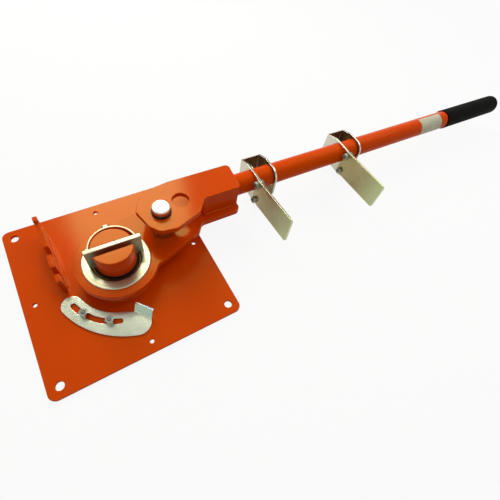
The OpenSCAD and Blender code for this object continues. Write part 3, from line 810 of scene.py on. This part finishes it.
def build_clip_fasteners(number):
    place = on_tube(*CLIPS[number])
    bolts, nuts, screw = bmesh.new(), bmesh.new(), bmesh.new()
    shank = [(0, -9.4), (1.8, -9.4), (M6_CORE, -8.8), (M6_CORE, 3.2), (0, 3.2)]
    for y in BOLT_HEIGHTS:
        through = place @ moved(BOLT_FRONT, y, 0)
        lathe(bolts, shank, through, 40)
        thread(bolts, M6_R, M6_PITCH, -9.5, 3.5, through)
        hexagon_body(bolts, M6_ACROSS, 4, through @ moved(0, 0, 3), low_chamfer=False)
        hexagon_body(nuts, M6_ACROSS, 5, through @ moved(0, 0, -8), M6_BORE)
    across = place @ moved(0, -3, CLIP_W / 2) @ turned(90, "Y")
    core = [(0, 17.1), (2.6, 17.1), (M8_CORE, 17.8), (M8_CORE, 40.2), (0, 40.2)]
    lathe(screw, core, across, 40)
    thread(screw, M8_R, M8_PITCH, 17.6, 41.5, across)
    hexagon_body(screw, 12.8, 5.2, across @ moved(0, 0, 40), low_chamfer=False)
    for bm, stands_for, made, finish in (
            (bolts, "bolts", "threaded", STUD_ZINC),
            (nuts, "nuts", "chamfered", FLAG_NUT_ZINC),
            (screw, "screw", "threaded", NUT_ZINC)):
        replaced = f"clip_{number}_{stands_for}"
        piece(f"{replaced}_{made}", bm, finish, "length_stop_" + number,
              [replaced], 20)


build_stop_fasteners()
build_strap_screw()
for number in CLIPS:
    build_clip_fasteners(number)


# Painted welds

def build_base_welds():
    bm = bmesh.new()
    ring_weld(bm, moved(0, 0, PLATE_TOP), FOOT_R + 0.3, 3.0)
    for x in COMB_SIDES:
        start, end = [(x, y, PLATE_TOP) for y in COMB_ENDS]
        straight_weld(bm, start, end, 1.8)
    piece("base_welds", bm, ENAMEL, "base")


def build_lever_welds():
    bm = bmesh.new()
    for y in (TUBE_Y - CHEEK_SIDE, TUBE_Y + CHEEK_SIDE):
        for z, radius in ((CHEEK_BOTTOM, 2.4), (CHEEK_TOP, 1.0)):
            start, end = [(x, y, z) for x in CHEEK_ENDS]
            straight_weld(bm, start, end, radius, ON_LEVER)
    ring_weld(bm, on_tube(ARM_END - 0.2), TUBE_R + 0.2, 2.0)
    piece("lever_welds", bm, ENAMEL, "lever")


build_base_welds()
build_lever_welds()


# Floor, light and camera

def grey(level):
    return (level, level, level, 1.0)


def seen_ray(tree, camera=1.0, mirrored=1.0):
    """Share of what the camera sees and of what metal mirrors, and 0 for the light that falls."""
    path = tree.nodes.new("ShaderNodeLightPath").outputs
    mirror = larger(tree, path["Is Glossy Ray"], path["Is Transmission Ray"])
    mirror = times(tree, mirror, mirrored)
    return larger(tree, times(tree, path["Is Camera Ray"], camera), mirror)


def build_floor():
    bm = bmesh.new()
    bmesh.ops.create_grid(bm, x_segments=1, y_segments=1, size=6)
    bmesh.ops.translate(bm, verts=bm.verts, vec=(0, 0, -0.2 * MM))
    mesh = bpy.data.meshes.new("floor")
    bm.to_mesh(mesh)
    bm.free()
    floor = bpy.data.objects.new("floor", mesh)
    bpy.context.scene.collection.objects.link(floor)
    material = bpy.data.materials.new("white_floor")
    material.use_nodes = True
    tree = material.node_tree
    tree.nodes.clear()
    white = node(tree, "ShaderNodeEmission", {"Color": grey(1.0), "Strength": 1.0})
    reach = length_of(tree, object_place(tree))
    plain = spread(tree, ramp(tree, reach, 1.0, 2.5), 0.9, 1.0)
    matt = node(tree, "ShaderNodeBsdfDiffuse", {"Color": grey(0.82)})
    mixed = node(tree, "ShaderNodeMixShader", {
        0: seen_ray(tree, plain, 0.4), 1: matt.outputs[0], 2: white.outputs[0]})
    out = tree.nodes.new("ShaderNodeOutputMaterial")
    tree.links.new(mixed.outputs[0], out.inputs["Surface"])
    mesh.materials.append(material)


def build_world():
    world = bpy.data.worlds.new("studio")
    bpy.context.scene.world = world
    world.use_nodes = True
    tree = world.node_tree
    tree.nodes.clear()
    way = node(tree, "ShaderNodeTexCoord").outputs["Generated"]
    height = node(tree, "ShaderNodeSeparateXYZ", {"Vector": way}).outputs["Z"]
    shown = mix_colour(tree, ramp(tree, height, 0.3, 0.6), grey(1.0), grey(0.52))
    light = mix_colour(tree, ramp(tree, height, 0.2, 0.9), grey(0.14), grey(0.42))
    seen = tree.nodes.new("ShaderNodeLightPath").outputs["Is Camera Ray"]
    shown = mix_colour(tree, seen, shown, grey(1.0))
    colour = mix_colour(tree, seen_ray(tree), light, shown)
    sky = node(tree, "ShaderNodeBackground", {"Color": colour, "Strength": 1.0})
    out = tree.nodes.new("ShaderNodeOutputWorld")
    tree.links.new(sky.outputs[0], out.inputs["Surface"])


def area_lamp(name, at, aim, width, depth, power, colour):
    data = bpy.data.lights.new(name, "AREA")
    data.shape = "RECTANGLE"
    data.size = width
    data.size_y = depth
    data.energy = power
    data.color = colour
    lamp = bpy.data.objects.new(name, data)
    lamp.location = at
    lamp.rotation_euler = (Vector(aim) - Vector(at)).to_track_quat("-Z", "Y").to_euler()
    bpy.context.scene.collection.objects.link(lamp)


def build_camera():
    data = bpy.data.cameras.new("photo_camera")
    data.sensor_width = 36
    data.lens = 24.256
    data.clip_start = 0.01
    camera = bpy.data.objects.new("photo_camera", data)
    right = (0.85189668, -0.50155969, 0.15069812)
    up = (0.36651669, 0.77651975, 0.51252571)
    back = (-0.3740823, -0.38138557, 0.84534459)
    at = (-0.0122065, -0.2564919, 0.4625277)
    camera.matrix_world = Matrix([*zip(right, up, back, at), (0, 0, 0, 1)])
    bpy.context.scene.collection.objects.link(camera)
    bpy.context.scene.camera = camera


build_floor()
build_world()
LIT_SPOT = (0.1, 0.0, 0.0)
area_lamp("back_softbox", (0.21, 1.09, 1.02), LIT_SPOT, 0.62, 1.1, 14.5, (1.0, 0.96, 0.84))
area_lamp("side_softbox", (0.95, 0.1, 1.0), LIT_SPOT, 0.9, 0.9, 4.0, (1.0, 1.0, 1.0))
build_camera()
bpy.context.scene.view_settings.view_transform = "Standard"
